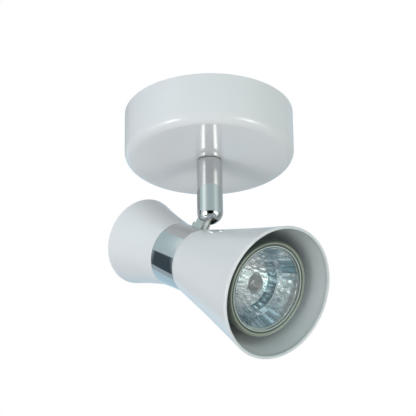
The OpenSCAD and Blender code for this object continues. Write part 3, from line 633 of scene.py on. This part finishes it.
band_line = rounded([
    (band_radius - sheet, -band_half, 0.3), (band_radius, -band_half, 0.45),
    (band_radius, band_half, 0.45), (band_radius - sheet, band_half, 0.3),
])
band = piece("waist_band_sleeve", *spun_on_head(band_line, 256))
cut(band, box_on_head((slot_middle - band_slot_half, 0, band_slot_from),
                      (slot_middle + band_slot_half, band_radius + 3, band_slot_to)))
smooth(band)
band.data.materials.append(chrome)
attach(band, "head")
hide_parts("waist_band")


# Rear cup
# Spun from steel sheet with a flat end, then enamelled. The end has a dimple for the tie screw and
# six curved vents, and the neck has a spigot that goes into the waist band.
cup_neck, cup_radius, cup_end, cup_sag = 16.9, 23.45, -39.6, 0.5
dimple, dimple_depth, tie_hole = 5.2, 3.0, 2.2
spigot, cup_spigot_to = 15.9, -7.0
vents, vent_middle, vent_half, vent_sweep = 6, 15.325, 1.5, 17.0


def flare(r0, r1, sag, z0, z1, steps=40):
    """A line from radius r0 to r1 that bows inwards by sag at its middle, as a parabola."""
    u = np.linspace(0, 1, steps)
    return np.stack([r0 + (r1 - r0) * u - 4 * sag * u * (1 - u), z0 + (z1 - z0) * u], -1)


def vent(turn):
    """A banana-shaped cutter: two arcs about the axis joined by half circles at both ends."""
    a = np.radians(np.linspace(-vent_sweep, vent_sweep, 24))
    arc = np.stack([np.cos(a), np.sin(a)], -1)
    half = np.linspace(0, np.pi, 14)[1:-1]
    ends = []
    for corner, sign, sweep in ((a[-1], 1, half), (a[0], -1, half[::-1])):
        out = np.array([math.cos(corner), math.sin(corner)])
        on = np.array([-math.sin(corner), math.cos(corner)])
        bow = np.cos(sweep)[:, None] * out + sign * np.sin(sweep)[:, None] * on
        ends.append(vent_middle * out + vent_half * bow)
    ring = np.concatenate([arc * (vent_middle + vent_half), ends[0],
                           arc[::-1] * (vent_middle - vent_half), ends[1]])
    c, s = math.cos(math.radians(turn)), math.sin(math.radians(turn))
    ring = ring @ np.array([[c, s], [-s, c]])
    layers = [np.insert(ring, 2, z, axis=1) for z in (cup_end - sheet, cup_end + 2 * sheet)]
    points, *faces = stacked(np.stack(layers))
    return (on_head(points), *faces)


cup_outer = flare(cup_neck, cup_radius, cup_sag, -band_half, cup_end)
cup_inner = flare(cup_neck - sheet, cup_radius - sheet, cup_sag, -band_half - sheet, cup_end + sheet)
dimple_at, spigot_inner = cup_end + dimple_depth, spigot - sheet
cup_line = np.concatenate([
    rounded([(tie_hole, dimple_at, 0), (dimple, dimple_at, 0.5), (dimple, cup_end, 0.7),
             (cup_radius, cup_end, 0.9), (*cup_outer[-4], 0)], closed=False),
    cup_outer[-5::-1],
    rounded([(*cup_outer[0], 0), (spigot, -band_half, 0.05), (spigot, cup_spigot_to, 0.2),
             (spigot_inner, cup_spigot_to, 0.2), (spigot_inner, -band_half - sheet, 0.05),
             (*cup_inner[0], 0)], closed=False)[1:-1],
    cup_inner,
    rounded([(*cup_inner[-1], 0), (dimple + sheet, cup_end + sheet, 0.4),
             (dimple + sheet, dimple_at + sheet, 0.5), (tie_hole, dimple_at + sheet, 0)], closed=False)[1:],
])
cup = piece("rear_cup_shell", *spun_on_head(cup_line, 240))
cut(cup, *[vent(360 / vents * (k + 0.5)) for k in range(vents)])
smooth(cup)
cup.data.materials.append(enamel)
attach(cup, "head")
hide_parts("rear_cup")


# Front shade
# Spun from steel sheet to a long flare with a small rolled lip, enamelled white outside, with a
# darker grey colour inside. Its spigot goes into the waist band and the holder frame draws its flange back.
shade_neck, shade_mouth, mouth_at, shade_sag, lip = 17.7, 34.4, 74.1, 0.4, 0.8
flange_bore, flange_at = 12.5, -1.1
notch_half, notch_from, notch_to = 4.3, -2.1, 7.6
shade_outer = flare(shade_neck, shade_mouth, shade_sag, band_half, mouth_at - lip, 72)
shade_inner = flare(shade_neck - sheet, shade_mouth - sheet, shade_sag, band_half + sheet,
                    mouth_at - lip, 72)
lip_turn = np.linspace(0, 1.1 * np.pi, 18)
lip_line = [shade_mouth - lip, mouth_at - lip] + lip * np.stack([np.cos(lip_turn), np.sin(lip_turn)], -1)
shade_line = np.concatenate([
    rounded([(flange_bore, flange_at, 0.2), (spigot, flange_at, 0.3), (spigot, band_half, 0.05),
             (shade_neck, band_half, 0.35), (*shade_outer[3], 0)], closed=False)[1:],
    shade_outer[4:-1], lip_line, shade_inner[-3::-1],
    rounded([(*shade_inner[0], 0), (spigot_inner, band_half + sheet, 0.05),
             (spigot_inner, flange_at + sheet, 0.1), (flange_bore, flange_at + sheet, 0.2)],
            closed=False)[1:],
    [[flange_bore, flange_at]],
])
shade = piece("front_shade_shell", *spun_on_head(shade_line, 288))
cut(shade, box_on_head((-notch_half, 0, notch_from), (notch_half, 16.0, notch_to)))
smooth(shade)
shade.data.materials.append(enamel)
shade.data.materials.append(finish("grey_inside", (0.66, 0.68, 0.68), 0.18, grain=200.0, spread=0.01,
                                   relief=1e-6, relief_scale=300.0))
middles = face_values(shade, "center") * 1000 - head_origin
along = middles @ head_ahead
outwards = middles - along[:, None] * head_ahead
inward_facing = ((outwards * face_values(shade, "normal")).sum(1) < 0) & (along > band_half)
shade.data.polygons.foreach_set("material_index", inward_facing.astype(np.int32))
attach(shade, "head")
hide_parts("front_shade")


# Lamp holder and lamp base
# A round block of pressed steatite with two curved grooves for the lamp's pins, and the lamp's own
# moulded base, which turns in it.
dress(finish("steatite", (0.80, 0.78, 0.72), 0.55, grain=900.0, spread=0.04, relief=1.5e-5),
      "lamp_holder", "lamp_base")


# Lamp reflector
# A pressed glass bowl, mirrored inside: rows of small pillow facets near the neck run out into
# long flutes. Its thick lip holds the cover glass. Reflections, highlights and shade are painted
# into the colours of the mirror and the lip.
face_at, foot_at = 65.9, 18.9
bowl_from, bowl_to = foot_at + 13, face_at - 4
collar, bowl_rim, lip_rim, lip_waist = 9.4, 24.6, 25.0, 24.7
neck_bore, ledge, cover_seat = 5.6, 20.55, 21.65
mirror_from, mirror_to, seat_at = 38.0, face_at - 2.6, face_at - 2.45
flutes, steps_across = 32, 14
turns = flutes * steps_across

# Rows of facets from the neck outwards: where each ends, its steps, how deep its pillows are along
# the row, how much of them stays at the row's ends, and the level of painted reflection on the coating in it
facet_rows = ((0.09, 4, 0.10, 0.3, 0.95), (0.18, 4, 0.14, 0.3, 0.90), (0.27, 4, 0.18, 0.3, 0.95),
              (0.36, 4, 0.20, 0.3, 0.90), (0.46, 5, 0.22, 0.1, 0.95), (0.61, 7, 0.20, 0.0, 0.06),
              (0.71, 7, 0.12, 0.1, 0.75), (1.0, 20, 0.20, 0.9, 0.50))
painted_dark_row, flute_row = 5, 7
row_end, row_steps, row_deep, row_kept, row_painted_light = np.array(facet_rows).T
row_start = np.append(0.0, row_end[:-1])
row = np.repeat(np.arange(len(facet_rows)), row_steps.astype(int))
step = np.concatenate([np.arange(n) for n in row_steps])
across = (step + 0.5 * (row > 0)) / row_steps[row]
bulge = 1 - (2 * across - 1) ** 2
line_u = np.append(row_start[row] + (row_end - row_start)[row] * across, 1.0)
line_depth = np.append(row_deep[row] * (row_kept[row] + (1 - row_kept[row]) * bulge), 0.0)
line_shift = np.append(0.5 * (row % 2), 0.0)[:, None]


def ringed(radii, heights, turn):
    """Rings of points at (r cos a, r sin a, z): one row for each radius, one column for each turn."""
    heights = np.repeat(np.asarray(heights)[:, None], len(turn), 1)
    return np.stack([radii * np.cos(turn), radii * np.sin(turn), heights], -1)


turn = np.arange(turns) * 2 * np.pi / turns
sideways = ((np.arange(turns) / steps_across)[None, :] + line_shift) % 1.0
bowl_r = neck_bore + (ledge - neck_bore) * line_u
inner_r = bowl_r[:, None] - (1 - (2 * sideways - 1) ** 2) * line_depth[:, None]
inner = ringed(inner_r, mirror_from + (mirror_to - mirror_from) * line_u, turn)
outer_u = np.linspace(0, 1, 24)
back_line = np.concatenate([
    [[neck_bore, foot_at + 9.0], [collar, foot_at + 9.0]],
    np.stack([collar + (bowl_rim - collar) * np.sin(outer_u * np.pi / 2) ** 0.85,
              bowl_from + (bowl_to - bowl_from) * outer_u], -1),
])
lip_corners = rounded([
    (bowl_rim, bowl_to, 0), (lip_rim, bowl_to, 0.15), (lip_rim, bowl_to + 0.9, 0.1),
    (lip_waist, bowl_to + 1.0, 0.1), (lip_waist, bowl_to + 1.6, 0.1), (lip_rim, bowl_to + 1.7, 0.1),
    (lip_rim, face_at, 1.3), (23.3, face_at, 0.4), (23.1, face_at - 0.35, 0.2),
    (22.2, face_at - 0.35, 0.2), (22.0, face_at, 0.25), (cover_seat, face_at, 0.2),
    (cover_seat, seat_at, 0), (ledge, seat_at, 0)], closed=False)[1:]
outer_line = np.concatenate([back_line, lip_corners])
rings = np.concatenate([ringed(outer_line[:, :1], outer_line[:, 1], turn), inner[::-1]])
grid = np.arange(len(rings) * turns).reshape(-1, turns)
grid = np.vstack([grid, grid[:1]])
nexts = np.roll(grid, -1, 1)
bowl_faces = np.stack([grid[:-1], nexts[:-1], nexts[1:], grid[1:]], -1).reshape(-1, 4)
reflector = piece("lamp_reflector_bowl", on_head(rings.reshape(-1, 3)), bowl_faces)
smooth(reflector, 40)


def lobe(angle, middle, half):
    """exp(-((angle - middle) / half)^4), with the difference wrapped to 180 degrees either way."""
    return np.exp(-(((angle - middle + 180) % 360 - 180) / half) ** 4)[None, :]


# Painted reflection on the mirror, face by face: a level by row, a scattered glint value by facet, a
# painted highlight dot in each facet of the row painted dark, painted shade as a dark line between
# flutes, and a painted lit side towards +X
middle_turn = (np.arange(turns) + 0.5) / steps_across
round_it = np.degrees(middle_turn * 2 * np.pi / flutes)
shifted_turn = middle_turn[None, :] + line_shift[:-1]
beside = 2 * (shifted_turn % 1.0) - 1
row, onwards = row[:, None], 2 * across[:, None] - 1
in_painted_dark_row, in_flutes = row == painted_dark_row, row == flute_row
painted_glint_scatter = np.modf(np.abs(np.sin(np.floor(shifted_turn) % flutes * 12.9898 + row * 78.233) * 43.7585))[0]
painted_glints = 1.4 * np.exp(-(beside ** 2 + onwards ** 2) / 0.10)
painted_groove_shade = 0.45 * np.exp(-((np.abs(beside) - 1) / 0.12) ** 2)
painted_light = row_painted_light[row] + (painted_glint_scatter - 0.5) * (0.5 + 0.3 * in_flutes) - painted_groove_shade * in_flutes
painted_light += (painted_glints + 0.4 * (1 - lobe(round_it, -8, 52))) * in_painted_dark_row
painted_light += lobe(round_it, 12, 27) * (0.6 + 0.3 * painted_glint_scatter) * (row > painted_dark_row)
painted_light = np.clip(painted_light + 0.05, 0, 1)

# Painted light and shade on the lip: dark and light rings by radius, and round its outermost part
# a painted lit side by how far it faces +X
lip_rows = slice(len(back_line), len(outer_line) - 1)
lip_r = (outer_line[1:, 0] + outer_line[:-1, 0])[lip_rows] / 2
lip_painted_rings = np.interp(lip_r, [cover_seat, 22.0, 22.2, 22.4, 23.0, 23.3, 23.8, bowl_rim, lip_rim],
                      [0.8, 1.0, 0.6, 0.1, 0.1, 0.6, 0.5, 0.3, 0.04])[:, None]
painted_lit_side = 0.05 + 0.95 * (0.5 + 0.5 * np.cos(middle_turn * 2 * np.pi / flutes + 0.35)) ** 2
outermost = np.interp(outer_line[lip_rows, 0], [23.9, 24.5], [0.0, 1.0])[:, None]
painted_light_by_face = np.zeros((len(grid) - 1, turns), np.float32)
painted_light_by_face[lip_rows] = lip_painted_rings * (1 - outermost) + painted_lit_side * outermost
painted_light_by_face[len(outer_line):len(outer_line) + len(painted_light)] = painted_light[::-1]
is_lip = np.zeros(painted_light_by_face.shape, np.int32)
is_lip[lip_rows] = 1
reflector.data.attributes.new("painted_light", "FLOAT", "FACE").data.foreach_set("value", painted_light_by_face.ravel())
reflector.data.polygons.foreach_set("material_index", is_lip.ravel())


def graded(made, *stops):
    """Lets a finish take its colour from a ramp over the attribute of painted light and shade, times its own
    noise.
    """
    tree = made.node_tree
    target = tree.nodes["Principled BSDF"].inputs["Base Color"]
    noise = target.links[0].from_socket
    read = linked(tree, "ShaderNodeAttribute", attribute_name="painted_light")
    ramp = linked(tree, "ShaderNodeValToRGB", read.outputs["Fac"])
    for number, (position, colour) in enumerate(stops):
        stop = ramp.color_ramp.elements[number] if number < 2 else ramp.color_ramp.elements.new(position)
        stop.position, stop.color = position, (*colour, 1.0)
    both = linked(tree, "ShaderNodeMix", 1.0, data_type="RGBA", blend_type="MULTIPLY")
    tree.links.new(ramp.outputs["Color"], both.inputs[6])
    tree.links.new(noise, both.inputs[7])
    tree.links.new(both.outputs[2], target)
    return made


# The mirror's colour is painted reflection: painted highlights, dark rows and painted shade between flutes.
reflector.data.materials.append(graded(
    finish("mirror_coat", (0.99, 0.99, 0.99), 0.09, 0.76, grain=500.0, spread=0.01),
    (0.0, (0.17, 0.28, 0.32)), (1.0, (1.0, 1.0, 1.0)), (0.4, (0.53, 0.70, 0.76))))
# The lip's colour: painted shade in its dark rings, painted highlights in its light rings, and a painted lit
# side.
reflector.data.materials.append(graded(
    finish("lip_glass", (0.95, 0.95, 0.95), 0.06, grain=150.0, spread=0.05, IOR=1.5),
    (0.0, (0.03, 0.05, 0.045)), (1.0, (0.75, 0.86, 0.85)), (0.55, (0.33, 0.35, 0.28))))
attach(reflector, "lamp")
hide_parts("lamp_reflector")


# Lamp cover
# A flat disc of clear glass with ground edges. It lies on a ledge in the lamp's lip, in front of the
# bowl and the capsule.
cover_radius, cover_from, cover_to = 21.55, face_at - 2.4, face_at - 0.15
cover_line = rounded([(0.0, cover_from, 0), (cover_radius, cover_from, 0.25), (cover_radius, cover_to, 0.45),
                      (0.0, cover_to, 0)], closed=False)
cover = piece("lamp_cover_glass", *spun_on_head(cover_line, 160))
smooth(cover)
cover.data.materials.append(finish("clear_glass", (0.99, 1.0, 1.0), 0.02, grain=300.0, spread=0.01,
                                   Transmission_Weight=1.0, IOR=1.45))
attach(cover, "lamp")
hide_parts("lamp_cover")


# Lamp capsule
# A small burner of fused quartz with a narrow foot in the lamp's neck and a drawn tip. Its wavy
# wall gives it many small highlights.
capsule_end, capsule_radius, capsule_foot, foot_radius, tip_radius = 57.6, 5.0, 34.9, 3.4, 1.9
capsule_line = rounded([
    (0.0, capsule_foot, 0), (foot_radius, capsule_foot, 0.6), (foot_radius, capsule_foot + 6.5, 1.5),
    (capsule_radius, capsule_foot + 9, 1.5), (capsule_radius, capsule_end - 0.9, 2.4),
    (tip_radius + 0.3, capsule_end - 0.5, 0.6), (tip_radius, capsule_end, 0.5), (0.0, capsule_end, 0)],
    closed=False)
capsule = piece("lamp_capsule_quartz", *spun_on_head(capsule_line, 96))
smooth(capsule, 60)
capsule.data.materials.append(finish("quartz", (1.0, 1.0, 1.0), 0.03, grain=700.0, spread=0.0, relief=1.2e-4,
                                     relief_scale=450.0, Transmission_Weight=0.78, IOR=1.46))
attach(capsule, "lamp")
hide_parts("lamp_capsule")
